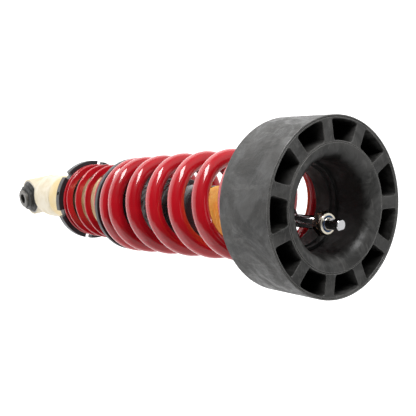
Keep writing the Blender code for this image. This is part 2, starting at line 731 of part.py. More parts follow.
def make_isolator():
    """Moulded rubber isolator: a wide ring with a funnel, a seat behind and pockets."""
    seat_z = MAIN_TOP_Z + GAP
    edge = 0.0012
    mouth_round = 0.0120
    bell = []
    for step in range(5):
        angle = math.radians(80.0 - 20.0 * step)
        bell.append((ISOLATOR_MOUTH_RADIUS - mouth_round * math.sin(angle),
                     TOP_FACE_Z - mouth_round * (1.0 - math.cos(angle))))
    isolator = turned("upper_isolator", [
        (ISOLATOR_RADIUS - edge, TOP_FACE_Z),
        (ISOLATOR_RADIUS, TOP_FACE_Z - edge),
        (ISOLATOR_RADIUS, ISOLATOR_REAR_Z + edge),
        (ISOLATOR_RADIUS - edge, ISOLATOR_REAR_Z),
        (ISOLATOR_SEAT_RADIUS, ISOLATOR_REAR_Z),
        (ISOLATOR_SEAT_RADIUS, seat_z),
        (ISOLATOR_PILOT_RADIUS, seat_z),
        (ISOLATOR_PILOT_RADIUS, ISOLATOR_PILOT_Z),
        (ISOLATOR_THROAT_RADIUS, ISOLATOR_PILOT_Z),
        (ISOLATOR_THROAT_RADIUS + 0.0015, seat_z + 0.0060),
    ] + bell, FINE, BLACK_RUBBER)
    pieces = [isolator]
    for index in range(POCKETS):
        angle = POCKET_FIRST_ANGLE + index * 2.0 * math.pi / POCKETS
        cutter = pocket_cutter("pocket_%02d" % index, angle)
        boolean(isolator, cutter, "DIFFERENCE")
        pieces.append(cutter)
    for piece in pieces:
        piece.location = LEAN


def lower_to_frame():
    """Put the middle of the rod's top end face at the origin."""
    for obj in bpy.data.objects:
        obj.location.z -= STUD_TOP_Z


make_lower_mount()
make_bush()
make_body_tubes()
make_base_valve()
make_rod_guide()
make_seal_cap()
make_body_sleeve()
make_rod()
make_piston()
make_top_fasteners()
make_bump_stop()
make_perch()
make_coupler()
make_main_spring()
make_helper_spring()
make_isolator()
lower_to_frame()
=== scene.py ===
"""Looks of the coil-over strut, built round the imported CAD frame.

Every piece is made in the row frame: metres, +Z up the strut, origin at the middle of the
rod's top end face. Sizes come from the CAD nodes' boxes, and small details are named here.
"""

import json
from math import asin, ceil, cos, pi, radians, sin, sqrt, tan

import bmesh
import bpy
import numpy as np
from mathutils import Matrix, Vector, noise


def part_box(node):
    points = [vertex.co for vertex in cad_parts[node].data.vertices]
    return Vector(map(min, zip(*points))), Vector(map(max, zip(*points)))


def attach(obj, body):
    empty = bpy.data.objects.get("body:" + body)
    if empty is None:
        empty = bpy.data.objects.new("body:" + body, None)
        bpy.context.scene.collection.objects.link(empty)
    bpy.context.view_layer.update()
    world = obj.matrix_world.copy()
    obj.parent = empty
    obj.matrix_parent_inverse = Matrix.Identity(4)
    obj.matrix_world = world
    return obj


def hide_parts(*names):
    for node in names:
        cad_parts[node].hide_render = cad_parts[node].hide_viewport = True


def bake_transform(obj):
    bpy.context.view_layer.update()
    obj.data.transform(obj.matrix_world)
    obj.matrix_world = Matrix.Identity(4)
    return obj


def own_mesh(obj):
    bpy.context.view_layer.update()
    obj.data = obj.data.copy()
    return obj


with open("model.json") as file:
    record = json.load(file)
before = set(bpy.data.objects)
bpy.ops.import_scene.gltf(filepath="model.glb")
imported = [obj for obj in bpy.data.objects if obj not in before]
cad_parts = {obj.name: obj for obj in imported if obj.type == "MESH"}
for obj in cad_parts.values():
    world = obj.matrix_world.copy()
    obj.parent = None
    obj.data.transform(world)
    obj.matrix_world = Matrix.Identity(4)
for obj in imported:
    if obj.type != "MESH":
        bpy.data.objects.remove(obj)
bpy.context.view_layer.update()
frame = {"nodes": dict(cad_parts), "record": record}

GAP = 0.0003

BODY_OF = {node: body for body, nodes in frame["record"]["behaviour"]["bodies"].items()
           for node in nodes}


def turned_size(node):
    """(radius, bottom, top) of a CAD node that was turned about the damper's axis."""
    low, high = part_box(node)
    return (high.x - low.x) / 2, low.z, high.z


def half_height(node):
    _, bottom, top = turned_size(node)
    return (top - bottom) / 2


# Driving sizes, from the frame
BODY_RADIUS, BODY_BOTTOM, BODY_TOP = turned_size("body_tube")
CAP_RADIUS, _, CAP_TOP = turned_size("seal_cap")
SLEEVE_RADIUS, SLEEVE_BOTTOM, SLEEVE_TOP = turned_size("body_sleeve")
STOP_RADIUS, STOP_BOTTOM, STOP_TOP = turned_size("bump_stop")
PERCH_RADIUS, PERCH_BOTTOM, PERCH_TOP = turned_size("perch")
COUPLER_RADIUS, COUPLER_LOW, COUPLER_HIGH = turned_size("coupler")
HELPER_RADIUS, _, _ = turned_size("helper_spring")
WASHER_RADIUS, WASHER_BOTTOM, WASHER_TOP = turned_size("shoulder_washer")
ISOLATOR_RADIUS, ISOLATOR_REAR, ISOLATOR_TOP = turned_size("upper_isolator")
ROD_RADIUS, ROD_BOTTOM, ROD_TOP = turned_size("piston_rod")
_, MAIN_BOTTOM, MAIN_TOP = turned_size("main_spring")
_, MOUNT_BOTTOM, MOUNT_TOP = turned_size("lower_mount")
_, NUT_BOTTOM, NUT_TOP = turned_size("top_nut")
_, EYE_LOW, EYE_HIGH = turned_size("bush_sleeve")
PISTON_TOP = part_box("rebound_stop")[0].z - GAP
EYE_Z = (EYE_LOW + EYE_HIGH) / 2
EYE_RADIUS = EYE_Z - MOUNT_BOTTOM
EYE_HALF_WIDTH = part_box("bush_shell")[1].y
BUSH_SHELL_RADIUS = half_height("bush_shell")
BUSH_RUBBER_RADIUS = half_height("bush_rubber")
BUSH_SLEEVE_RADIUS = half_height("bush_sleeve")
BUSH_SLEEVE_HALF_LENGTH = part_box("bush_sleeve")[1].y
BUSH_RUBBER_HALF_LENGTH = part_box("bush_rubber")[1].y
LEAN = sum(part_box("upper_isolator"), Vector()) / 2
LEAN.z = 0.0

# Sizes inside a piece, which its box doesn't give
BODY_BORE_RADIUS = 0.0253
BODY_THREAD_PITCH = 0.0020
BODY_THREAD_DEPTH = 0.0002
BUSH_BOLT_RADIUS = 0.0065
STUD_RADIUS = 0.0057
STUD_THREAD_PITCH = 0.00125
STUD_THREAD_DEPTH = 0.00045
STUD_TIP_RADIUS = 0.0050
STUD_TIP_FLAT = 0.0039
NUT_ACROSS_FLATS = 0.0190
NUT_COLLAR_RADIUS = 0.0092
STOP_END_RADIUS = 0.0242
PERCH_FLANGE = 0.0088
PERCH_HUB_RADIUS = 0.0360
PERCH_NOTCHES = 6
PERCH_NOTCH_WIDTH = 0.0080
PERCH_NOTCH_DEPTH = 0.0045
PERCH_NOTCH_ANGLE = radians(39.0)
PERCH_SCREW_ANGLE = radians(249.5)
PERCH_SCREW_RADIUS = 0.0021
COUPLER_LOWER_REACH = 0.0080
COUPLER_DISC_BOTTOM = COUPLER_LOW + COUPLER_LOWER_REACH
COUPLER_DISC_TOP = MAIN_BOTTOM - GAP
COUPLER_LOWER_PILOT = 0.0345
COUPLER_UPPER_PILOT = 0.0355
COUPLER_BORE_RADIUS = 0.0287
HELPER_BOTTOM = PERCH_TOP + GAP
HELPER_TOP = COUPLER_DISC_BOTTOM - GAP
HELPER_BORE_RADIUS = 0.0365
HELPER_THICKNESS = 0.0035
HELPER_TURNS = 5.65
HELPER_END_TURNS = 1.0
HELPER_START_ANGLE = radians(175.0)
HELPER_LIFT = 0.0004
MAIN_RADIUS = 0.0532
MAIN_WIRE_RADIUS = 0.0081
MAIN_TURNS = 7.9
MAIN_END_PITCH = 0.0164
MAIN_END_TURNS = 1.2
MAIN_START_ANGLE = radians(162.5)
ISOLATOR_SEAT_RADIUS = 0.0538
ISOLATOR_PILOT_RADIUS = 0.0358
ISOLATOR_THROAT_RADIUS = 0.0345
ISOLATOR_MOUTH_RADIUS = 0.0525
ISOLATOR_MOUTH_ROUND = 0.0120
POCKETS = 11
POCKET_INNER_RADIUS = 0.0545
POCKET_OUTER_RADIUS = 0.0718
POCKET_DEPTH = 0.0300
POCKET_RIB = 0.0109

TURN = 2.0 * pi

# Facets round a turn
FINE = 128
MEDIUM = 96
COARSE = 64


# ---- mesh tools

def smooth_step(value):
    value = min(max(value, 0.0), 1.0)
    return value * value * (3.0 - 2.0 * value)


def polar(radius, angle, z):
    return Vector((radius * cos(angle), radius * sin(angle), z))


def paint(mesh, material):
    mesh.materials.clear()
    mesh.materials.append(material)


def link(name, data, material=None):
    obj = bpy.data.objects.new(name, data)
    bpy.context.scene.collection.objects.link(obj)
    if material is not None:
        paint(data, material)
    return obj


def mesh_from(bm, name):
    """The mesh of a BMesh, which is freed."""
    mesh = bpy.data.meshes.new(name)
    bm.to_mesh(mesh)
    bm.free()
    return mesh


def shade(obj, angle=35.0, weighted=True):
    """Smooth shading with crisp edges, and flat faces that stay flat beside a fillet."""
    obj.data.shade_smooth()
    obj.data.set_sharp_from_angle(angle=radians(angle))
    if weighted:
        flat_faces = obj.modifiers.new("flat_faces", "WEIGHTED_NORMAL")
        flat_faces.keep_sharp = True
    return obj


def stand_in(obj, node):
    """The piece rides on a CAD node's body and takes its place."""
    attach(obj, BODY_OF[node])
    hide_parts(node)


def stretch_between(spring, node):
    """A spring is shaded and takes its CAD node's place, with its transform baked into its
    mesh.
    """
    shade(spring)
    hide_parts(node)
    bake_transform(spring)


def rounded(points, radius, closed=True):
    """The outline with an arc at each corner. A point may give its own radius third."""
    count = len(points)
    outline = []
    for index, point in enumerate(points):
        corner = Vector(point[:2])
        reach = point[2] if len(point) > 2 else radius
        if not closed and index in (0, count - 1):
            outline.append(tuple(corner))
            continue
        back = Vector(points[index - 1][:2]) - corner
        ahead = Vector(points[(index + 1) % count][:2]) - corner
        opening = back.angle(ahead)
        if reach == 0.0 or opening > radians(170.0):
            outline.append(tuple(corner))
            continue
        tangent = min(reach / tan(opening / 2), 0.48 * back.length,
                      0.48 * ahead.length)
        arc_radius = tangent * tan(opening / 2)
        middle = (back.normalized() + ahead.normalized()).normalized()
        centre = corner + middle * (arc_radius / sin(opening / 2))
        start = corner + back.normalized() * tangent - centre
        sweep = start.angle_signed(corner + ahead.normalized() * tangent - centre)
        steps = max(2, ceil(abs(sweep) / radians(23.0)))
        for step in range(steps + 1):
            turn = Matrix.Rotation(-sweep * step / steps, 2)
            outline.append(tuple(centre + turn @ start))
    return outline


def lathe(name, profile, segments, relief=None, relief_from=0.0):
    """Turn an outline of (radius, z), which runs down the outside, about Z.

    An outline that starts and ends on the axis makes a solid, and any other is closed
    into a ring. The relief gives an extra radius for a (z, angle), and leaves the
    rows inside relief_from as they are.
    """
    bm = bmesh.new()
    turns = [TURN * step / segments for step in range(segments)]
    rows = []
    for radius, z in profile:
        if radius == 0.0:
            rows.append([bm.verts.new((0.0, 0.0, z))] * segments)
            continue
        row = []
        for turn in turns:
            extra = relief(z, turn) if relief and radius > relief_from else 0.0
            row.append(bm.verts.new(polar(radius + extra, turn, z)))
        rows.append(row)
    solid = profile[0][0] == 0.0
    pairs = list(zip(rows, rows[1:])) + ([] if solid else [(rows[-1], rows[0])])
    for upper, lower in pairs:
        for step in range(segments):
            after = (step + 1) % segments
            corners = [upper[step], lower[step], lower[after], upper[after]]
            distinct = list(dict.fromkeys(corners))
            if len(distinct) > 2:
                bm.faces.new(distinct)
    bm.normal_update()
    return mesh_from(bm, name)


def raised(z):
    return Matrix.Translation((0.0, 0.0, z))


def along_y(z):
    """Turns a mesh that was made about Z so that its axis lies along Y at a height."""
    return raised(z) @ Matrix.Rotation(pi / 2, 4, "X")


def turned_mesh(name, profile, segments, round_off):
    """Turn an outline whose corners are rounded."""
    solid = profile[0][0] == 0.0
    return lathe(name, rounded(profile, round_off, not solid), segments)


def turned(node, profile, segments, material, round_off=0.0004, matrix=None):
    """Turn an outline into the piece that stands in for a node."""
    mesh = turned_mesh(node, profile, segments, round_off)
    piece = shade(link(node, mesh, material))
    if matrix is not None:
        mesh.transform(matrix)
    stand_in(piece, node)


def evaluated_mesh(obj):
    """The object's mesh with its modifiers applied; the object itself is removed."""
    depsgraph = bpy.context.evaluated_depsgraph_get()
    mesh = bpy.data.meshes.new_from_object(obj.evaluated_get(depsgraph))
    bpy.data.objects.remove(obj, do_unlink=True)
    return mesh


def boolean(target, cutter_mesh, operation):
    """Apply an exact Boolean of a target object with a closed mesh."""
    name = target.name
    cutter = link(name + "_cutter", cutter_mesh)
    modifier = target.modifiers.new(operation.lower(), "BOOLEAN")
    modifier.operation = operation
    modifier.object = cutter
    modifier.solver = "EXACT"
    mesh = evaluated_mesh(target)
    bpy.data.objects.remove(cutter, do_unlink=True)
    result = link(name, mesh)
    result.name = name
    return result


def box_mesh(size, matrix):
    bm = bmesh.new()
    bmesh.ops.create_cube(bm, size=1.0, matrix=matrix @ Matrix.Diagonal((*size, 1.0)))
    return mesh_from(bm, "box")


def prism_mesh(radius, bottom, top, sides, matrix=Matrix()):
    bm = bmesh.new()
    bmesh.ops.create_cone(bm, cap_ends=True, segments=sides, radius1=radius, radius2=radius,
                          depth=top - bottom, matrix=matrix @ raised((top + bottom) / 2))
    return mesh_from(bm, "prism")


def bevelled(obj, width):
    """Round the sharp edges a Boolean left, then shade the piece."""
    bevel = obj.modifiers.new("edges", "BEVEL")
    bevel.width = width
    bevel.segments = 2
    bevel.limit_method = "ANGLE"
    bevel.angle_limit = radians(40.0)
    bevel.use_clamp_overlap = True
    return shade(obj)


def thread(pitch, depth, bottom, top, run_out):
    """Relief of a right-hand thread that fades out at both ends."""
    def relief(z, turn):
        inside = min(z - bottom, top - z) / run_out
        wave = (z / pitch - turn / TURN) % 1.0
        shape = 0.5 - 0.5 * cos(TURN * wave)
        return -depth * shape * smooth_step(inside)
    return relief


def fine_stretch(radius, top, bottom, step):
    """Close rows down a straight side, to carry a relief."""
    count = round((top - bottom) / step)
    return [(radius, top + (bottom - top) * row / count) for row in range(count + 1)]


# ---- material tools

class Nodes:
    """Short calls that add nodes to a tree."""

    def __init__(self, owner):
        owner.use_nodes = True
        self.tree = owner.node_tree

    def connect(self, socket, value):
        if isinstance(value, bpy.types.NodeSocket):
            self.tree.links.new(value, socket)
        elif isinstance(value, tuple) and len(value) == 3 and socket.type == "RGBA":
            socket.default_value = (*value, 1.0)
        else:
            socket.default_value = value

    def node(self, kind, **inputs):
        made = self.tree.nodes.new("ShaderNode" + kind)
        for name, value in inputs.items():
            self.connect(made.inputs[name.replace("_", " ")], value)
        return made

    def operate(self, kind, operation, *values):
        made = self.node(kind)
        made.operation = operation
        for index, value in enumerate(values):
            self.connect(made.inputs[index], value)
        return made

    def math(self, operation, *values):
        return self.operate("Math", operation, *values).outputs[0]

    def times(self, first, second):
        return self.math("MULTIPLY", first, second)

    def dot(self, first, second):
        return self.operate("VectorMath", "DOT_PRODUCT", first, second).outputs["Value"]

    def spread(self, value, low, high, to_low=0.0, to_high=1.0):
        made = self.node("MapRange", Value=value, From_Min=low, From_Max=high,
                         To_Min=to_low, To_Max=to_high)
        made.interpolation_type = "SMOOTHSTEP"
        return made.outputs["Result"]


class Finish(Nodes):
    """A Principled material in the making."""

    def __init__(self, name, roughness, metallic=0.0):
        self.material = bpy.data.materials.new(name)
        super().__init__(self.material)
        self.shader = self.tree.nodes["Principled BSDF"]
        self.set("Roughness", roughness)
        self.set("Metallic", metallic)
        self.place = self.node("TexCoord").outputs["Object"]
        self.normal = None

    def set(self, name, value):
        self.connect(self.shader.inputs[name], value)

    def stretched(self, scale, turn=(0.0, 0.0, 0.0)):
        """The piece's own coordinates, stretched so that a pattern runs along an axis."""
        return self.node("Mapping", Vector=self.place, Scale=scale,
                         Rotation=turn).outputs["Vector"]

    def noise(self, scale, detail=3.0, roughness=0.5, distortion=0.0, place=None):
        made = self.node("TexNoise", Vector=place or self.place, Scale=scale,
                         Detail=detail, Roughness=roughness, Distortion=distortion)
        return made.outputs["Fac"]

    def patches(self, low, high, *pattern):
        """0 where the noise is below the low value, and 1 where it is above the high."""
        return self.spread(self.noise(*pattern), low, high)

    def vary_roughness(self, scale, low, high, detail=3.0):
        self.set("Roughness", self.spread(self.noise(scale, detail), 0.3, 0.7, low, high))

    def colour(self, share, first, second):
        self.set("Base Color", self.mix(share, first, second))

    def mix(self, share, first, second):
        made = self.node("Mix")
        made.data_type = "RGBA"
        for index, value in ((0, share), (6, first), (7, second)):
            self.connect(made.inputs[index], value)
        return made.outputs[2]

    def height_along(self, axis):
        made = self.node("SeparateXYZ", Vector=self.place)
        return made.outputs[axis]

    def within(self, centre, radius, top):
        """1 below a height and inside a radius about an upright axis, and 0 elsewhere."""
        moved = self.node("Mapping", Vector=self.place,
                          Location=(-centre.x, -centre.y, 0.0))
        split = self.node("SeparateXYZ", Vector=moved.outputs["Vector"])
        squares = [self.times(split.outputs[axis], split.outputs[axis])
                   for axis in "XY"]
        distance = self.math("SQRT", self.math("ADD", *squares))
        inside = self.spread(distance, radius - 0.0006, radius, 1.0, 0.0)
        below = self.spread(split.outputs["Z"], top - 0.0150, top, 1.0, 0.0)
        return self.times(inside, below)

    def edge_mask(self, radius, low=0.02, high=0.12):
        """1 on an edge, within the radius of it, and 0 on a flat or round face."""
        bevel = self.node("Bevel", Radius=radius)
        bevel.samples = 6
        facing = self.dot(bevel.outputs["Normal"],
                          self.node("NewGeometry").outputs["Normal"])
        return self.spread(self.math("SUBTRACT", 1.0, facing), low, high)

    def bump(self, height, distance):
        """Add a bump of so many metres over the bumps that are already there."""
        made = self.node("Bump", Height=height, Distance=distance, Strength=1.0)
        if self.normal is not None:
            self.connect(made.inputs["Normal"], self.normal)
        self.normal = made.outputs["Normal"]
        self.set("Normal", self.normal)


def red_coat():
    """Thick gloss powder coat, with faint orange peel and a little dust."""
    finish = Finish("red_coat", 0.45)
    shade_of = finish.patches(0.35, 0.7, 35.0, 4.0)
    colour = finish.mix(shade_of, (0.41, 0.002, 0.009), (0.33, 0.0015, 0.007))
    dust = finish.patches(0.70, 0.78, 2600.0, 2.0)
    finish.colour(dust, colour, (0.55, 0.07, 0.07))
    finish.vary_roughness(60.0, 0.38, 0.52)
    finish.set("Specular IOR Level", 0.12)
    finish.set("Coat Weight", 1.0)
    finish.set("Coat IOR", 1.5)
    finish.set("Coat Roughness", 0.09)
    finish.bump(finish.noise(110.0, 2.0), 0.00002)
    return finish.material


def moulded_rubber(name, light, dark, scale, scuffs, smooth, rough, shaded_hollow=None):
    """Black rubber: mottled bloom, slanting scuffs, painted edge highlights, a pebbled
    skin.

    The shaded hollow, as (centre, radius, top), gets painted shade: darker and less
    specular.
    """
    finish = Finish(name, 0.6)
    mottle = finish.patches(0.40, 0.60, scale, 7.0, 0.68, 0.9)
    base = finish.mix(mottle, dark, light)
    along = finish.stretched((1.0, 2.6, 0.45), (0.5, 0.25, 0.6))
    streak = finish.patches(0.50, 0.72, scale * 1.6, 5.0, 0.7, 1.4, along)
    pale = tuple(2.6 * channel for channel in light)
    coloured = finish.mix(finish.times(streak, scuffs), base, pale)
    edge = finish.edge_mask(0.0011, 0.01, 0.07)
    # Painted highlight: the edges are lightened towards pale grey, and given a glossy coat.
    edge_highlight = tuple(4.5 * channel for channel in light)
    open_colour = finish.mix(finish.times(edge, 0.7), coloured, edge_highlight)
    finish.set("Base Color", open_colour)
    finish.set("Roughness", finish.spread(mottle, 0.0, 1.0, smooth, rough))
    sheen = finish.spread(finish.noise(scale * 0.8, 6.0, 0.66, 1.2), 0.38, 0.62, 0.28, 0.66)
    finish.set("Specular IOR Level", sheen)
    finish.set("Coat Weight", finish.times(edge, 0.8))
    finish.set("Coat Roughness", 0.15)
    if shaded_hollow is not None:
        # Painted shade: inside the isolator's bell the colour goes near black and the
        # specular is cut, standing in for the shadow there.
        painted_shade = finish.within(*shaded_hollow)
        finish.colour(finish.times(painted_shade, 0.8), open_colour, (0.003, 0.0026, 0.0024))
        dull = finish.spread(painted_shade, 0.0, 1.0, 1.0, 0.4)
        finish.set("Specular IOR Level", finish.times(sheen, dull))
    finish.bump(finish.noise(1500.0, 3.0), 0.00006)
    finish.bump(finish.noise(scale * 3.0, 5.0, 0.65, 0.8), 0.00030)
    finish.bump(finish.noise(scale * 0.7, 4.0, 0.6, 0.6), 0.00130)
    return finish.material


def pale_zinc():
    """Pale zinc plate over a forging: creamy, faintly blotched, with a soft grain."""
    finish = Finish("pale_zinc", 0.42, 0.25)
    blotch = finish.patches(0.35, 0.7, 55.0, 5.0, 0.6, 0.5)
    base = finish.mix(blotch, (0.66, 0.60, 0.48), (0.56, 0.48, 0.32))
    edge = finish.edge_mask(0.0008)
    finish.colour(finish.times(edge, 0.6), base, (0.80, 0.78, 0.72))
    finish.vary_roughness(160.0, 0.32, 0.5)
    finish.bump(finish.noise(700.0, 4.0), 0.00006)
    finish.bump(finish.noise(90.0, 3.0), 0.00020)
    return finish.material


def gold_zinc():
    """Yellow zinc plate, with the faint pink and green of its passivation."""
    finish = Finish("gold_zinc", 0.3, 0.5)
    hue = finish.patches(0.35, 0.7, 28.0, 3.0, 0.5, 1.2)
    base = finish.mix(hue, (0.60, 0.46, 0.22), (0.62, 0.52, 0.33))
    rose = finish.spread(finish.noise(46.0, 3.0, 0.5, 0.8), 0.58, 0.76, 0.0, 0.30)
    finish.colour(rose, base, (0.62, 0.40, 0.28))
    finish.vary_roughness(24.0, 0.28, 0.34, 2.0)
    return finish.material


def black_anodised(name, wear, smooth=0.28, rough=0.42):
    """Machined and anodised alloy: turning lines, and bright metal on worn edges."""
    finish = Finish(name, 0.34, 0.35)
    tone = finish.patches(0.3, 0.7, 70.0, 4.0)
    base = finish.mix(tone, (0.016, 0.016, 0.018), (0.030, 0.030, 0.034))
    broken = finish.patches(0.40, 0.62, 380.0, 4.0, 0.7)
    edge = finish.times(finish.edge_mask(0.0006), broken)
    finish.colour(finish.times(edge, wear), base, (0.55, 0.54, 0.53))
    finish.vary_roughness(240.0, smooth, rough)
    lines = finish.stretched((1.0, 1.0, 60.0))
    finish.bump(finish.noise(45.0, 2.0, 0.5, 0.0, lines), 0.00003)
    return finish.material


def bright_metal(name, colour, roughness, grain_axis):
    """Plain metal with fine drawn or turned lines and a few darker stains."""
    finish = Finish(name, roughness, 1.0)
    stretch = [1.0, 1.0, 1.0]
    stretch[grain_axis] = 40.0
    grain = finish.noise(60.0, 3.0, 0.5, 0.0, finish.stretched(tuple(stretch)))
    stain = finish.patches(0.50, 0.75, 95.0, 5.0, 0.6, 0.6)
    dark = tuple(0.55 * channel for channel in colour)
    finish.colour(finish.times(stain, 0.6), colour, dark)
    finish.set("Roughness", finish.spread(grain, 0.3, 0.7, roughness * 0.75,
                                          roughness * 1.3))
    finish.bump(grain, 0.000008)
    return finish.material


def nut_metal():
    """Black-oxided hexagon with copper-coloured edges painted as glints, and a bright cream
    collar.
    """
    finish = Finish("nut_metal", 0.3, 1.0)
    collar = finish.spread(finish.height_along("Z"), NUT_TOP - 0.0028, NUT_TOP - 0.0022)
    # Painted glints: copper-coloured metal on broken patches of the hex's edges stands in
    # for the light they catch.
    edge_highlight = finish.times(finish.edge_mask(0.0007),
                         finish.patches(0.38, 0.60, 420.0, 4.0, 0.7))
    oxide = finish.mix(edge_highlight, (0.035, 0.032, 0.030), (0.62, 0.34, 0.18))
    cream = finish.mix(finish.noise(300.0, 3.0), (0.92, 0.86, 0.72), (0.80, 0.74, 0.60))
    finish.colour(collar, oxide, cream)
    finish.vary_roughness(260.0, 0.20, 0.36)
    finish.bump(finish.noise(800.0, 2.0), 0.00001)
    return finish.material


def moulded_plastic(name, colour, lighter, roughness):
    finish = Finish(name, roughness)
    tone = finish.patches(0.35, 0.7, 240.0, 4.0, 0.6)
    finish.colour(tone, colour, lighter)
    finish.set("Roughness", finish.spread(tone, 0.0, 1.0, roughness * 0.8,
                                          roughness * 1.25))
    finish.bump(finish.noise(1300.0, 2.0), 0.00002)
    return finish.material


def yellow_foam():
    """Cellular polyurethane: open pores with painted shade in them, and uneven colour."""
    finish = Finish("yellow_foam", 0.62)
    tone = finish.patches(0.3, 0.7, 60.0, 4.0)
    base = finish.mix(tone, (0.88, 0.47, 0.10), (0.76, 0.34, 0.045))
    cells = finish.node("TexVoronoi", Vector=finish.place, Scale=1100.0)
    pores = finish.spread(cells.outputs["Distance"], 0.10, 0.42)
    # Painted shade: the pore hollows are coloured a darker orange.
    finish.colour(pores, (0.60, 0.24, 0.02), base)
    finish.set("Subsurface Weight", 0.15)
    finish.set("Subsurface Scale", 0.002)
    finish.bump(pores, 0.00012)
    finish.bump(finish.noise(240.0, 3.0), 0.0002)
    return finish.material


def pale_floor():
    """Plain pale floor, with enough glow of its own to read as a white sweep."""
    finish = Finish("pale_floor", 0.9)
    tone = finish.patches(0.3, 0.7, 3.0, 2.0)
    finish.colour(tone, (0.88, 0.88, 0.88), (0.90, 0.90, 0.90))
    finish.set("Emission Color", (1.0, 1.0, 1.0))
    finish.set("Emission Strength", 0.7)
    finish.bump(finish.noise(40.0, 2.0), 0.0002)
    return finish.material


RED_COAT = red_coat()
ISOLATOR_RUBBER = moulded_rubber("isolator_rubber", (0.044, 0.043, 0.041),
                                 (0.015, 0.015, 0.014), 34.0, 0.45, 0.38, 0.66,
                                 (LEAN, ISOLATOR_RADIUS - 0.0020, ISOLATOR_TOP))
SOFT_RUBBER = moulded_rubber("soft_rubber", (0.024, 0.024, 0.023),
                             (0.011, 0.011, 0.010), 90.0, 0.15, 0.42, 0.6)
SLEEVE_RUBBER = moulded_rubber("sleeve_rubber", (0.020, 0.020, 0.020),
                               (0.010, 0.010, 0.010), 60.0, 0.3, 0.24, 0.40)
PALE_ZINC = pale_zinc()
GOLD_ZINC = gold_zinc()
BLACK_ALLOY = black_anodised("black_alloy", 0.8)
BLACK_CAP = black_anodised("black_cap", 0.25, 0.14, 0.24)
CHROME = bright_metal("chrome", (0.72, 0.72, 0.74), 0.12, 2)
STEEL = bright_metal("steel", (0.50, 0.48, 0.46), 0.32, 2)
BRONZE = bright_metal("bronze", (0.62, 0.42, 0.20), 0.35, 2)
DARK_STEEL = bright_metal("dark_steel", (0.17, 0.165, 0.155), 0.45, 2)
NUT_METAL = nut_metal()
BLUE_NYLON = moulded_plastic("blue_nylon", (0.03, 0.13, 0.38), (0.05, 0.20, 0.50), 0.35)
BLACK_PLASTIC = moulded_plastic("black_plastic", (0.02, 0.02, 0.02),
                                (0.035, 0.035, 0.035), 0.4)
YELLOW_FOAM = yellow_foam()


# ---- lower eye

def make_lower_mount():
    """Forged lower end: the boss flows into the eye, which is bored for the bush."""
    boss_top = BODY_BOTTOM - GAP
    profile = [
        (0.0, MOUNT_TOP),
        (BODY_BORE_RADIUS - GAP, MOUNT_TOP),
        (BODY_BORE_RADIUS - GAP, boss_top),
        (BODY_RADIUS, boss_top),
        (BODY_RADIUS, EYE_Z + 0.0400, 0.0100),
        (0.0272, EYE_Z + 0.0320, 0.0080),
        (0.0218, EYE_Z + 0.0140, 0.0080),
        (0.0200, EYE_Z),
        (0.0, EYE_Z - 0.0040),
    ]
    mount = link("lower_mount", turned_mesh("boss", profile, MEDIUM, 0.0004))
    eye = turned_mesh("eye", [
        (0.0, EYE_HALF_WIDTH),
        (EYE_RADIUS, EYE_HALF_WIDTH),
        (EYE_RADIUS, -EYE_HALF_WIDTH),
        (0.0, -EYE_HALF_WIDTH),
    ], MEDIUM, 0.0012)
    eye.transform(along_y(EYE_Z))
    mount = boolean(mount, eye, "UNION")
    remesh = mount.modifiers.new("skin", "REMESH")
    remesh.mode = "VOXEL"
    remesh.voxel_size = 0.0009
    soften = mount.modifiers.new("forged", "SMOOTH")
    soften.factor = 0.5
    soften.iterations = 5
    mount = link("lower_mount", evaluated_mesh(mount))
    bore_radius = BUSH_SHELL_RADIUS + GAP
    flare = bore_radius + 0.0310
    past_eye = 0.0500
    chamfer = 0.0006
    bore = lathe("bore", [
        (0.0, past_eye),
        (flare, past_eye),
        (bore_radius, EYE_HALF_WIDTH - chamfer),
        (bore_radius, -EYE_HALF_WIDTH + chamfer),
        (flare, -past_eye),
        (0.0, -past_eye),
    ], MEDIUM)
    bore.transform(along_y(EYE_Z))
    mount = boolean(mount, bore, "DIFFERENCE")
    paint(mount.data, PALE_ZINC)
    stand_in(shade(mount), "lower_mount")


def make_bush():
    """Bonded bush: rolled steel shell, a rubber body with moulded steps, a bolt sleeve."""
    half = EYE_HALF_WIDTH
    inner = BUSH_RUBBER_RADIUS + GAP
    turned("bush_shell", [
        (inner, half), (BUSH_SHELL_RADIUS, half),
        (BUSH_SHELL_RADIUS, -half), (inner, -half),
    ], MEDIUM, STEEL, 0.0002, along_y(EYE_Z))

    tip = BUSH_RUBBER_HALF_LENGTH
    end = [(0.0140, tip, 0.0007), (0.0163, tip - 0.0012, 0.0006),
           (0.0163, tip - 0.0030, 0.0006), (0.0147, tip - 0.0040, 0.0006),
           (0.0190, tip - 0.0060, 0.0010), (BUSH_RUBBER_RADIUS, half - 0.0005, 0.0006)]
    bore = BUSH_SLEEVE_RADIUS + GAP
    far_end = [(radius, -y, turn) for radius, y, turn in reversed(end)]
    turned("bush_rubber", [(bore, tip)] + end + far_end + [(bore, -tip)], MEDIUM,
           SOFT_RUBBER, matrix=along_y(EYE_Z))

    length = BUSH_SLEEVE_HALF_LENGTH
    turned("bush_sleeve", [
        (BUSH_BOLT_RADIUS, length, 0.0003), (BUSH_SLEEVE_RADIUS, length, 0.0008),
        (BUSH_SLEEVE_RADIUS, -length, 0.0008), (BUSH_BOLT_RADIUS, -length, 0.0003),
    ], COARSE, DARK_STEEL, matrix=along_y(EYE_Z))


# ---- damper body

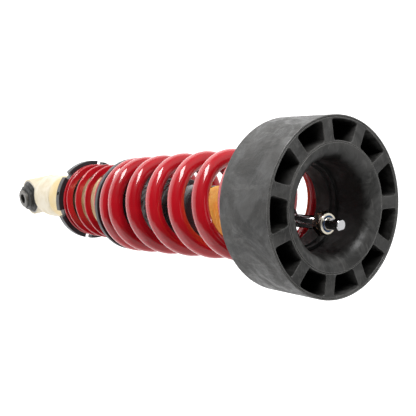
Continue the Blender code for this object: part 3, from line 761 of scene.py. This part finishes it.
def make_body_tube():
    """Body tube with a real fine thread from its foot up to the sleeve."""
    thread_bottom = BODY_BOTTOM + 0.0030
    thread_top = SLEEVE_BOTTOM - 0.0020
    chamfer = 0.0004
    outline = [(BODY_BORE_RADIUS, BODY_TOP), (BODY_RADIUS - chamfer, BODY_TOP),
               (BODY_RADIUS, BODY_TOP - chamfer)]
    outline += fine_stretch(BODY_RADIUS, thread_top, thread_bottom, BODY_THREAD_PITCH / 6)
    outline += [(BODY_RADIUS, BODY_BOTTOM + chamfer), (BODY_RADIUS - chamfer, BODY_BOTTOM),
                (BODY_BORE_RADIUS, BODY_BOTTOM)]
    groove = thread(BODY_THREAD_PITCH, BODY_THREAD_DEPTH, thread_bottom, thread_top,
                    run_out=0.0040)
    tube = link("body_tube", lathe("body_tube", outline, FINE, groove), GOLD_ZINC)
    stand_in(shade(tube, 80.0, False), "body_tube")


def make_seal_cap():
    """Screwed cap with a rounded shoulder and a wrench groove round its skirt."""
    foot = BODY_TOP + GAP
    mouth = 0.0110
    wrench_groove = CAP_RADIUS - 0.0010
    plug = BODY_BORE_RADIUS - GAP
    ring_groove = 0.0222
    ring_groove_top = BODY_TOP - 0.0052
    ring_groove_bottom = BODY_TOP - 0.0088
    plug_bottom = BODY_TOP - 0.0150
    guide_pocket = 0.0150
    guide_pocket_top = BODY_TOP - 0.0040
    rod_hole = ROD_RADIUS + 0.0005
    wiper_seat = CAP_TOP - 0.0080
    turned("seal_cap", [
        (mouth, CAP_TOP, 0.0004),
        (CAP_RADIUS, CAP_TOP, 0.0055),
        (CAP_RADIUS, foot + 0.0100, 0.0004),
        (wrench_groove, foot + 0.0092, 0.0003),
        (wrench_groove, foot + 0.0078, 0.0003),
        (CAP_RADIUS, foot + 0.0070, 0.0004),
        (CAP_RADIUS, foot),
        (plug, foot),
        (plug, ring_groove_top),
        (ring_groove, ring_groove_top),
        (ring_groove, ring_groove_bottom),
        (plug, ring_groove_bottom),
        (plug, plug_bottom),
        (guide_pocket, plug_bottom),
        (guide_pocket, guide_pocket_top),
        (rod_hole, guide_pocket_top),
        (rod_hole, wiper_seat),
        (mouth, wiper_seat),
    ], MEDIUM, BLACK_CAP, 0.0003)


def make_body_sleeve():
    """Stretched rubber sleeve: a rolled lip above, and loose folds that wrap round it."""
    inner = BODY_RADIUS + GAP
    lip = CAP_RADIUS + 0.0004
    fold_top = SLEEVE_TOP - 0.0030
    fold_bottom = SLEEVE_BOTTOM + 0.0020
    outline = ([(lip, SLEEVE_TOP), (SLEEVE_RADIUS - 0.0022, SLEEVE_TOP),
                (SLEEVE_RADIUS - 0.0006, SLEEVE_TOP - 0.0010)]
               + fine_stretch(SLEEVE_RADIUS, fold_top, fold_bottom, 0.0012)
               + [(SLEEVE_RADIUS - 0.0008, SLEEVE_BOTTOM + 0.0004),
                  (SLEEVE_RADIUS - 0.0016, SLEEVE_BOTTOM), (inner, SLEEVE_BOTTOM),
                  (inner, BODY_TOP + GAP), (lip, BODY_TOP + GAP)])
    fold_depth = 0.0016
    fold_slant = 0.0120
    fold_height = 0.0150
    fade = 0.0060

    def relief(z, turn):
        slanted = z + fold_slant * sin(turn + 0.8)
        place = Vector((1.2 * cos(turn), 1.2 * sin(turn), slanted / fold_height))
        swirl = noise.noise(place + Vector((3.1, 0.0, 0.0)))
        ridge = 1.0 - abs(noise.noise(place * 1.3 + Vector((swirl, swirl, 2.0 * swirl))))
        inside = min(z - fold_bottom, fold_top - z) / fade
        return -fold_depth * ridge ** 4 * smooth_step(inside)

    sleeve = link("body_sleeve", lathe("body_sleeve", outline, FINE, relief), SLEEVE_RUBBER)
    stand_in(shade(sleeve, 60.0), "body_sleeve")


# ---- rod

def make_rod():
    """Chromed rod, its threaded stud, and a tip with two wrench flats."""
    shoulder = WASHER_BOTTOM - GAP
    tip_foot = ROD_TOP - 0.0120
    thread_top = tip_foot - 0.0015
    thread_bottom = shoulder + 0.0050
    chamfer = 0.0006
    piston_seat = 0.0050
    outline = [(0.0, ROD_TOP), (STUD_TIP_RADIUS - chamfer, ROD_TOP),
               (STUD_TIP_RADIUS, ROD_TOP - chamfer), (STUD_TIP_RADIUS, tip_foot)]
    outline += fine_stretch(STUD_RADIUS, thread_top, thread_bottom, STUD_THREAD_PITCH / 6)
    outline += [(STUD_RADIUS, shoulder), (ROD_RADIUS - chamfer, shoulder),
                (ROD_RADIUS, shoulder - chamfer), (ROD_RADIUS, PISTON_TOP),
                (piston_seat, PISTON_TOP), (piston_seat, ROD_BOTTOM), (0.0, ROD_BOTTOM)]
    groove = thread(STUD_THREAD_PITCH, STUD_THREAD_DEPTH, thread_bottom, thread_top,
                    run_out=0.0020)
    rod = link("piston_rod", lathe("piston_rod", outline, COARSE, groove))
    flat_size = (0.0040, 0.0200, 0.0110)
    for side in (-1, 1):
        flat = box_mesh(flat_size, Matrix.Translation(
            (side * (STUD_TIP_FLAT + flat_size[0] / 2), 0.0, ROD_TOP - 0.0045)))
        rod = boolean(rod, flat, "DIFFERENCE")
    paint(rod.data, CHROME)
    stand_in(shade(rod, 40.0, False), "piston_rod")


def make_shoulder_washer():
    bore = STUD_RADIUS + GAP
    turned("shoulder_washer", [
        (bore, WASHER_TOP, 0.0003),
        (WASHER_RADIUS - 0.0023, WASHER_TOP, 0.0006),
        (WASHER_RADIUS, WASHER_TOP - 0.0018, 0.0006),
        (WASHER_RADIUS, WASHER_BOTTOM, 0.0004),
        (bore, WASHER_BOTTOM, 0.0003),
    ], COARSE, BLACK_ALLOY)


def make_top_nut():
    """Hexagon lock nut: chamfered corners and a rolled collar round a nylon ring."""
    bore = STUD_RADIUS + GAP
    shoulder = NUT_TOP - 0.0038
    corner = NUT_ACROSS_FLATS / sqrt(3.0)
    chamfer = 0.0012
    lip = 0.0070
    insert_seat = 0.0083
    nut = link("top_nut", turned_mesh("top_nut", [
        (lip, NUT_TOP, 0.0003),
        (NUT_COLLAR_RADIUS, NUT_TOP, 0.0008),
        (NUT_COLLAR_RADIUS, NUT_TOP - 0.0030, 0.0002),
        (corner - chamfer, shoulder, 0.0002),
        (corner, shoulder - chamfer * 0.6, 0.0001),
        (corner, NUT_BOTTOM + chamfer * 0.6, 0.0001),
        (corner - chamfer, NUT_BOTTOM, 0.0002),
        (bore, NUT_BOTTOM, 0.0003),
        (bore, shoulder, 0.0001),
        (insert_seat, shoulder, 0.0001),
        (insert_seat, NUT_TOP - 0.0006, 0.0001),
        (lip, NUT_TOP - 0.0006, 0.0001),
    ], MEDIUM, 0.0002))
    nut = boolean(nut, prism_mesh(corner, NUT_BOTTOM - 0.0100, NUT_TOP + 0.0100, 6),
                  "INTERSECT")
    paint(nut.data, NUT_METAL)
    stand_in(bevelled(nut, 0.00025), "top_nut")
    insert_top = NUT_TOP - 0.0009
    turned("nylon_insert", [
        (bore, insert_top, 0.0005),
        (insert_seat - GAP, insert_top, 0.0004),
        (insert_seat - GAP, shoulder + GAP, 0.0002),
        (bore, shoulder + GAP, 0.0002),
    ], COARSE, BLUE_NYLON)


def make_bump_stop():
    """Foam bump stop: a blunt foot, two creases close together and a narrower nose."""
    bore = ROD_RADIUS + 0.0004
    height = STOP_TOP - STOP_BOTTOM

    def side(share, pinch, turn):
        radius = STOP_RADIUS - (1.0 - share) * (STOP_RADIUS - STOP_END_RADIUS)
        return (radius - pinch, STOP_TOP - share * height, turn)

    outline = rounded([
        (bore, STOP_TOP, 0.0008),
        side(0.0, 0.0, 0.0030),
        side(0.32, 0.0, 0.0012),
        side(0.365, 0.0024, 0.0005),
        side(0.41, 0.0004, 0.0008),
        side(0.455, 0.0024, 0.0005),
        side(0.50, 0.0, 0.0012),
        side(1.0, 0.0, 0.0026),
        (bore, STOP_BOTTOM, 0.0008),
    ], 0.001)
    row_height = 0.0007
    dense = []
    for first, second in zip(outline, outline[1:] + outline[:1]):
        span = (Vector(second) - Vector(first)).length
        steps = max(1, round(span / row_height))
        for step in range(steps):
            dense.append(tuple(Vector(first).lerp(Vector(second), step / steps)))

    crease_depth = 0.0009
    crease_height = 0.0085
    dimple = 0.0003

    def relief(z, turn):
        place = Vector((0.9 * cos(turn), 0.9 * sin(turn), z / crease_height))
        swirl = noise.noise(place * 0.6 + Vector((0.0, 4.2, 0.0)))
        ridge = 1.0 - abs(noise.noise(place + Vector((0.0, 0.0, 0.8 * swirl))))
        return -crease_depth * ridge ** 9 - dimple * (0.5 + 0.5 * noise.noise(place * 2.2))

    mesh = lathe("bump_stop", dense, MEDIUM, relief, relief_from=bore + 0.0030)
    stop = link("bump_stop", mesh, YELLOW_FOAM)
    stand_in(shade(stop, 60.0), "bump_stop")
    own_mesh(stop)


# ---- perch and coupler

def make_perch():
    """Threaded lower seat: notched flange with a shallow seat, hub and lock screw."""
    bore = BODY_RADIUS + 0.0004
    flange_bottom = PERCH_TOP - PERCH_FLANGE
    middle_z = PERCH_TOP - PERCH_FLANGE / 2
    perch = link("perch", turned_mesh("perch", [
        (bore, PERCH_TOP, 0.0008),
        (PERCH_RADIUS, PERCH_TOP, 0.0006),
        (PERCH_RADIUS, flange_bottom, 0.0006),
        (PERCH_HUB_RADIUS, flange_bottom, 0.0012),
        (PERCH_HUB_RADIUS, PERCH_BOTTOM, 0.0010),
        (bore, PERCH_BOTTOM, 0.0008),
    ], FINE, 0.0006))
    reach = 0.0200      # of a notch cutter, past the rim
    centre = PERCH_RADIUS - PERCH_NOTCH_DEPTH + reach / 2
    for index in range(PERCH_NOTCHES):
        angle = PERCH_NOTCH_ANGLE + index * TURN / PERCH_NOTCHES
        matrix = Matrix.Rotation(angle, 4, "Z") @ Matrix.Translation((centre, 0, middle_z))
        notch = box_mesh((reach, PERCH_NOTCH_WIDTH, reach), matrix)
        perch = boolean(perch, notch, "DIFFERENCE")
    place = (Matrix.Rotation(PERCH_SCREW_ANGLE, 4, "Z") @ raised(middle_z)
             @ Matrix.Rotation(pi / 2, 4, "Y"))
    hole = prism_mesh(PERCH_SCREW_RADIUS + GAP, 0.0200, 0.0600, 32, place)
    perch = boolean(perch, hole, "DIFFERENCE")
    paint(perch.data, BLACK_ALLOY)
    stand_in(bevelled(perch, 0.0003), "perch")

    head = 0.0455
    tip = 0.0290
    screw = link("perch_screw", turned_mesh("perch_screw", [
        (0.0, head), (PERCH_SCREW_RADIUS, head, 0.0003),
        (PERCH_SCREW_RADIUS, tip + 0.0010, 0.0004), (0.0014, tip, 0.0002), (0.0, tip),
    ], 32, 0.0002))
    socket = prism_mesh(0.0012, head - 0.0023, head + 0.0015, 6)
    screw = boolean(screw, socket, "DIFFERENCE")
    screw.data.transform(place)
    paint(screw.data, STEEL)
    stand_in(shade(screw), "perch_screw")


def make_coupler():
    """Sliding seat between the springs, with a pilot into each of them."""
    upper_bore = SLEEVE_RADIUS + 0.0010
    turned("coupler", [
        (upper_bore, COUPLER_HIGH, 0.0008),
        (COUPLER_UPPER_PILOT, COUPLER_HIGH, 0.0014),
        (COUPLER_UPPER_PILOT, COUPLER_DISC_TOP, 0.0002),
        (COUPLER_RADIUS, COUPLER_DISC_TOP, 0.0007),
        (COUPLER_RADIUS, COUPLER_DISC_BOTTOM, 0.0007),
        (COUPLER_LOWER_PILOT, COUPLER_DISC_BOTTOM, 0.0002),
        (COUPLER_LOWER_PILOT, COUPLER_LOW, 0.0012),
        (COUPLER_BORE_RADIUS, COUPLER_LOW, 0.0006),
        (COUPLER_BORE_RADIUS, COUPLER_DISC_TOP - 0.0012, 0.0006),
        (upper_bore, COUPLER_DISC_TOP, 0.0006),
    ], FINE, BLACK_ALLOY)


# ---- springs

def coil_heights(turns, end_turns, end_pitch, height, steps_per_turn):
    """Heights along a coil with closed ends, whose middle fills the rest of the height."""
    steps = round(turns * steps_per_turn)
    shares = []
    for step in range(steps):
        turn = (step + 0.5) / steps_per_turn
        near_end = min(turn, turns - turn)
        shares.append(smooth_step(near_end - end_turns + 0.5))
    extra = (height - end_pitch * turns) / (sum(shares) / steps_per_turn)
    heights = [0.0]
    for share in shares:
        heights.append(heights[-1] + (end_pitch + extra * share) / steps_per_turn)
    return heights


def coil_path(heights, steps_per_turn, radius, start_angle, first_z, lean=Vector()):
    """Points along a coil and along its axis, which leans so much for each metre up."""
    centres = []
    axis = []
    for step, height in enumerate(heights):
        angle = start_angle + step * TURN / steps_per_turn
        axis.append(lean * height)
        centres.append(polar(radius, angle, first_z + height) + axis[-1])
    return centres, axis


def swept_coil(name, centres, axis_points, section):
    """Sweep a section of (outward, upward) offsets along a coil, with flat ends."""
    path = np.array([tuple(point) for point in centres])
    axis = np.array([tuple(point) for point in axis_points])
    tangent = np.gradient(path, axis=0)
    tangent /= np.linalg.norm(tangent, axis=1)[:, None]
    outward = path - axis
    outward[:, 2] = 0.0
    outward -= (outward * tangent).sum(1)[:, None] * tangent
    outward /= np.linalg.norm(outward, axis=1)[:, None]
    upward = np.cross(outward, tangent)
    upward *= np.sign(upward[:, 2])[:, None]
    across = np.array([offset[0] for offset in section])
    along = np.array([offset[1] for offset in section])
    grid = (path[:, None, :] + across[None, :, None] * outward[:, None, :]
            + along[None, :, None] * upward[:, None, :])
    rows, columns = grid.shape[:2]
    faces = []
    for row in range(rows - 1):
        for column in range(columns):
            after = (column + 1) % columns
            faces.append((row * columns + column, row * columns + after,
                          (row + 1) * columns + after, (row + 1) * columns + column))
    faces.append(tuple(reversed(range(columns))))
    faces.append(tuple(range((rows - 1) * columns, rows * columns)))
    mesh = bpy.data.meshes.new(name)
    mesh.from_pydata(grid.reshape(-1, 3).tolist(), [], faces)
    bm = bmesh.new()
    bm.from_mesh(mesh)
    bmesh.ops.recalc_face_normals(bm, faces=bm.faces)
    bm.to_mesh(mesh)
    bm.free()
    return mesh


def make_main_spring():
    """Round-wire coil with closed, ground ends, leaning with the isolator it carries."""
    wire = MAIN_WIRE_RADIUS
    steps = 56
    span = MAIN_TOP - MAIN_BOTTOM - wire
    heights = coil_heights(MAIN_TURNS, MAIN_END_TURNS, MAIN_END_PITCH, span, steps)
    centres, axis = coil_path(heights, steps, MAIN_RADIUS - wire, MAIN_START_ANGLE,
                              MAIN_BOTTOM + wire / 2, LEAN / span)
    sides = 24
    section = [(wire * cos(TURN * side / sides), wire * sin(TURN * side / sides))
               for side in range(sides)]
    spring = link("main_spring", swept_coil("main_spring", centres, axis, section))
    slab = 0.0300
    for z in (MAIN_BOTTOM - slab / 2, MAIN_TOP + slab / 2):
        grinder = box_mesh((0.2, 0.2, slab), raised(z))
        spring = boolean(spring, grinder, "DIFFERENCE")
    paint(spring.data, RED_COAT)
    stretch_between(spring, "main_spring")


def make_helper_spring():
    """Flat-wire coil, wound on edge, with rolled corners and closed ends."""
    thickness = HELPER_THICKNESS
    steps = 64
    span = HELPER_TOP - HELPER_BOTTOM - thickness - 2 * HELPER_LIFT
    heights = coil_heights(HELPER_TURNS, HELPER_END_TURNS, thickness + HELPER_LIFT,
                           span, steps)
    centres, axis = coil_path(heights, steps, (HELPER_RADIUS + HELPER_BORE_RADIUS) / 2,
                              HELPER_START_ANGLE,
                              HELPER_BOTTOM + thickness / 2 + HELPER_LIFT)
    x = (HELPER_RADIUS - HELPER_BORE_RADIUS) / 2
    y = thickness / 2
    section = rounded([(x, y), (x, -y), (-x, -y), (-x, y)], 0.0013)
    mesh = swept_coil("helper_spring", centres, axis, section)
    stretch_between(link("helper_spring", mesh, RED_COAT), "helper_spring")


# ---- isolator

def rounded_rectangle(half_width, half_height, corner, arc_steps, side_steps):
    """Outline points of a rounded rectangle, anticlockwise from its right side."""
    points = []
    for quarter, (sign_x, sign_y) in enumerate(((1, 1), (-1, 1), (-1, -1), (1, -1))):
        centre = Vector((sign_x * (half_width - corner), sign_y * (half_height - corner)))
        for step in range(arc_steps + 1):
            angle = pi / 2 * (quarter + step / arc_steps)
            points.append(centre + corner * Vector((cos(angle), sin(angle))))
    outline = []
    per_corner = arc_steps + 1
    for index, point in enumerate(points):
        outline.append(point)
        if index % per_corner == arc_steps:
            following = points[(index + 1) % len(points)]
            steps = side_steps[(index // per_corner) % 2]
            for step in range(1, steps):
                outline.append(point.lerp(following, step / steps))
    return outline


def pocket_outline(angle, inset):
    """A pocket between two ribs of constant width, as (x, y) about the isolator's axis."""
    half_pitch = pi / POCKETS
    middle = (POCKET_INNER_RADIUS + POCKET_OUTER_RADIUS) / 2
    half_height = (POCKET_OUTER_RADIUS - POCKET_INNER_RADIUS) / 2 - inset
    half_width = middle * half_pitch - POCKET_RIB / 2 - inset
    corner = max(0.0022 - inset, 0.0008)
    outline = []
    for point in rounded_rectangle(half_width, half_height, corner, 5, (8, 3)):
        radius = middle + point.y
        reach = half_pitch - asin((POCKET_RIB / 2 + inset) / radius)
        turn = angle - point.x / half_width * reach
        outline.append((radius * cos(turn), radius * sin(turn)))
    return outline


def make_isolator():
    """Moulded rubber isolator: lipped ring with real pockets, a bell mouth and a seat."""
    seat = MAIN_TOP + GAP
    face_z = ISOLATOR_TOP - 0.0003
    crease_z = ISOLATOR_TOP - 0.0013
    lip_radius = ISOLATOR_RADIUS - 0.0017
    throat = ISOLATOR_THROAT_RADIUS
    bell = []
    steps = 10
    for step in range(steps + 1):
        angle = pi / 2 * (1.0 - step / steps)
        bell.append((ISOLATOR_MOUTH_RADIUS - ISOLATOR_MOUTH_ROUND * sin(angle),
                     ISOLATOR_TOP - ISOLATOR_MOUTH_ROUND * (1.0 - cos(angle)), 0.0))
    shell = rounded([
        (lip_radius - 0.0002, face_z),
        (lip_radius + 0.0002, crease_z, 0.0001),
        (lip_radius + 0.0006, ISOLATOR_TOP - 0.0002, 0.0002),
        (ISOLATOR_RADIUS, ISOLATOR_TOP, 0.0008),
        (ISOLATOR_RADIUS, ISOLATOR_REAR, 0.0016),
        (ISOLATOR_SEAT_RADIUS, ISOLATOR_REAR, 0.0010),
        (ISOLATOR_SEAT_RADIUS, seat, 0.0008),
        (ISOLATOR_PILOT_RADIUS, seat, 0.0008),
        (ISOLATOR_PILOT_RADIUS, ISOLATOR_REAR, 0.0003),
        (throat, ISOLATOR_REAR, 0.0003),
        (throat + 0.0005, seat + 0.0030, 0.0006),
        (throat + 0.0020, seat + 0.0034, 0.0006),
        (throat + 0.0024, seat + 0.0080, 0.0006),
        (throat + 0.0048, seat + 0.0084, 0.0010),
    ] + bell + [
        (ISOLATOR_MOUTH_RADIUS + 0.0003, ISOLATOR_TOP - 0.0001, 0.0001),
        (ISOLATOR_MOUTH_RADIUS + 0.0006, crease_z, 0.0001),
        (ISOLATOR_MOUTH_RADIUS + 0.0010, face_z),
    ], 0.0005, False)
    segments = 16 * POCKETS
    bm = bmesh.new()

    def ring(points):
        return [bm.verts.new(point) for point in points]

    def loop_edges(row):
        return [bm.edges.get((row[i - 1], row[i])) or bm.edges.new((row[i - 1], row[i]))
                for i in range(len(row))]

    def bridge(upper, lower):
        for i in range(len(upper)):
            bm.faces.new((upper[i - 1], upper[i], lower[i], lower[i - 1]))

    turns = [TURN * step / segments for step in range(segments)]
    rows = [ring([polar(radius, turn, z) for turn in turns]) for radius, z in shell]
    for upper, lower in zip(rows, rows[1:]):
        bridge(upper, lower)
    face_edges = loop_edges(rows[0]) + loop_edges(rows[-1])

    mouth = 0.0007
    floor_round = 0.0015
    draft = 0.0006
    angles = [pi / 2 * step / 3 for step in range(4)]
    levels = [(-mouth * (1 - sin(angle)), mouth * (1 - cos(angle)))
              for angle in angles]
    levels += [(draft + floor_round * (1 - cos(angle)),
                POCKET_DEPTH - floor_round * (1 - sin(angle))) for angle in angles]
    for index in range(POCKETS):
        angle = index * TURN / POCKETS
        cup = [ring([(x, y, face_z - depth) for x, y in pocket_outline(angle, inset)])
               for inset, depth in levels]
        face_edges += loop_edges(cup[0])
        for upper, lower in zip(cup, cup[1:]):
            bridge(upper, lower)
        bm.faces.new(cup[-1])
    bmesh.ops.triangle_fill(bm, use_beauty=True, use_dissolve=False, edges=face_edges,
                            normal=(0.0, 0.0, 1.0))
    bmesh.ops.recalc_face_normals(bm, faces=bm.faces)
    mesh = mesh_from(bm, "upper_isolator")
    mesh.transform(Matrix.Translation(LEAN))
    isolator = link("upper_isolator", mesh, ISOLATOR_RUBBER)
    stand_in(shade(isolator, 50.0), "upper_isolator")


# ---- carried-over nodes

def finish_hidden_nodes():
    """Give each CAD node that is carried over its procedural material."""
    finishes = {
        STEEL: ("pressure_tube", "base_valve", "base_valve_disc", "base_valve_bolt",
                "rod_guide", "piston", "compression_shims", "rebound_shims",
                "piston_nut"),
        BRONZE: ("guide_bush",),
        SOFT_RUBBER: ("cap_seal_ring", "rod_seal", "rod_wiper"),
        BLACK_PLASTIC: ("piston_band",),
        YELLOW_FOAM: ("rebound_stop",),
    }
    for material, nodes in finishes.items():
        for node in nodes:
            paint(frame["nodes"][node].data, material)


# ---- studio

STUDIO_CENTRE = Vector((0.0, 0.0, -0.28))
CAMERA_PLACE = Vector((-0.1384, -0.4389, 0.4328))
CAMERA_BACK = Vector((-0.17609, -0.57244, 0.8008)).normalized()
CAMERA_RIGHT = Vector((0.14055, 0.79063, 0.5960))
CAMERA_LENS = 66.2


def make_floor():
    """Wide floor, just below the eye."""
    bm = bmesh.new()
    bmesh.ops.create_grid(bm, x_segments=4, y_segments=4, size=3.0)
    bmesh.ops.translate(bm, vec=(0.0, 0.0, EYE_Z - EYE_RADIUS - 0.0005), verts=bm.verts)
    link("floor", mesh_from(bm, "floor"), pale_floor())


def aimed(obj, place, back, up):
    """Put an object in place so that it looks away from the direction back."""
    right = up.cross(back)
    rotation = Matrix((right, up, back)).transposed().to_4x4()
    obj.matrix_world = Matrix.Translation(place) @ rotation


def soft_light(name, direction, distance, size, power):
    """An area light that faces the strut, with its long side upright."""
    light = bpy.data.lights.new(name, "AREA")
    light.shape = "RECTANGLE"
    light.size, light.size_y = size
    light.energy = power
    back = Vector(direction).normalized()
    up = Vector((0.0, 0.0, 1.0)) - back.z * back
    aimed(link(name, light), STUDIO_CENTRE + back * distance, back, up.normalized())


def make_world():
    """White for the camera, and a softer grey studio for light and reflections."""
    world = bpy.data.worlds.new("studio")
    bpy.context.scene.world = world
    nodes = Nodes(world)
    nodes.tree.nodes.clear()
    direction = nodes.node("TexCoord").outputs["Generated"]
    glow = nodes.spread(nodes.dot(direction, (0.0, 0.9, 0.43)), 0.15, 0.75, 0.08, 1.0)
    sideways = nodes.node("SeparateXYZ", Vector=direction).outputs["X"]
    sweep = nodes.spread(sideways, 0.30, 0.42, 0.0, 1.15)
    room = nodes.node("Background", Strength=nodes.math("MAXIMUM", glow, sweep))
    seen = nodes.node("Background", Color=(1.0, 1.0, 1.0))
    path = nodes.node("LightPath")
    mix = nodes.node("MixShader")
    for index, value in enumerate((path.outputs["Is Camera Ray"], room.outputs[0],
                                   seen.outputs[0])):
        nodes.connect(mix.inputs[index], value)
    nodes.node("OutputWorld", Surface=mix.outputs[0])


def make_camera():
    camera = bpy.data.cameras.new("camera")
    camera.lens = CAMERA_LENS
    camera.sensor_width = 36.0
    camera.clip_start = 0.01
    obj = link("camera", camera)
    up = CAMERA_BACK.cross(CAMERA_RIGHT).normalized()
    aimed(obj, CAMERA_PLACE, CAMERA_BACK, up)
    bpy.context.scene.camera = obj


def make_studio():
    make_floor()
    make_world()
    make_camera()
    soft_light("key_strip", (-0.88, -0.10, 0.46), 1.3, (0.32, 1.00), 20.0)
    soft_light("side_card", (0.55, -0.82, 0.10), 1.6, (1.2, 1.2), 4.0)
    bpy.context.scene.view_settings.view_transform = "Standard"


make_lower_mount()
make_bush()
make_body_tube()
make_seal_cap()
make_body_sleeve()
make_rod()
make_shoulder_washer()
make_top_nut()
make_bump_stop()
make_perch()
make_coupler()
make_main_spring()
make_helper_spring()
make_isolator()
finish_hidden_nodes()
make_studio()

bpy.context.view_layer.update()
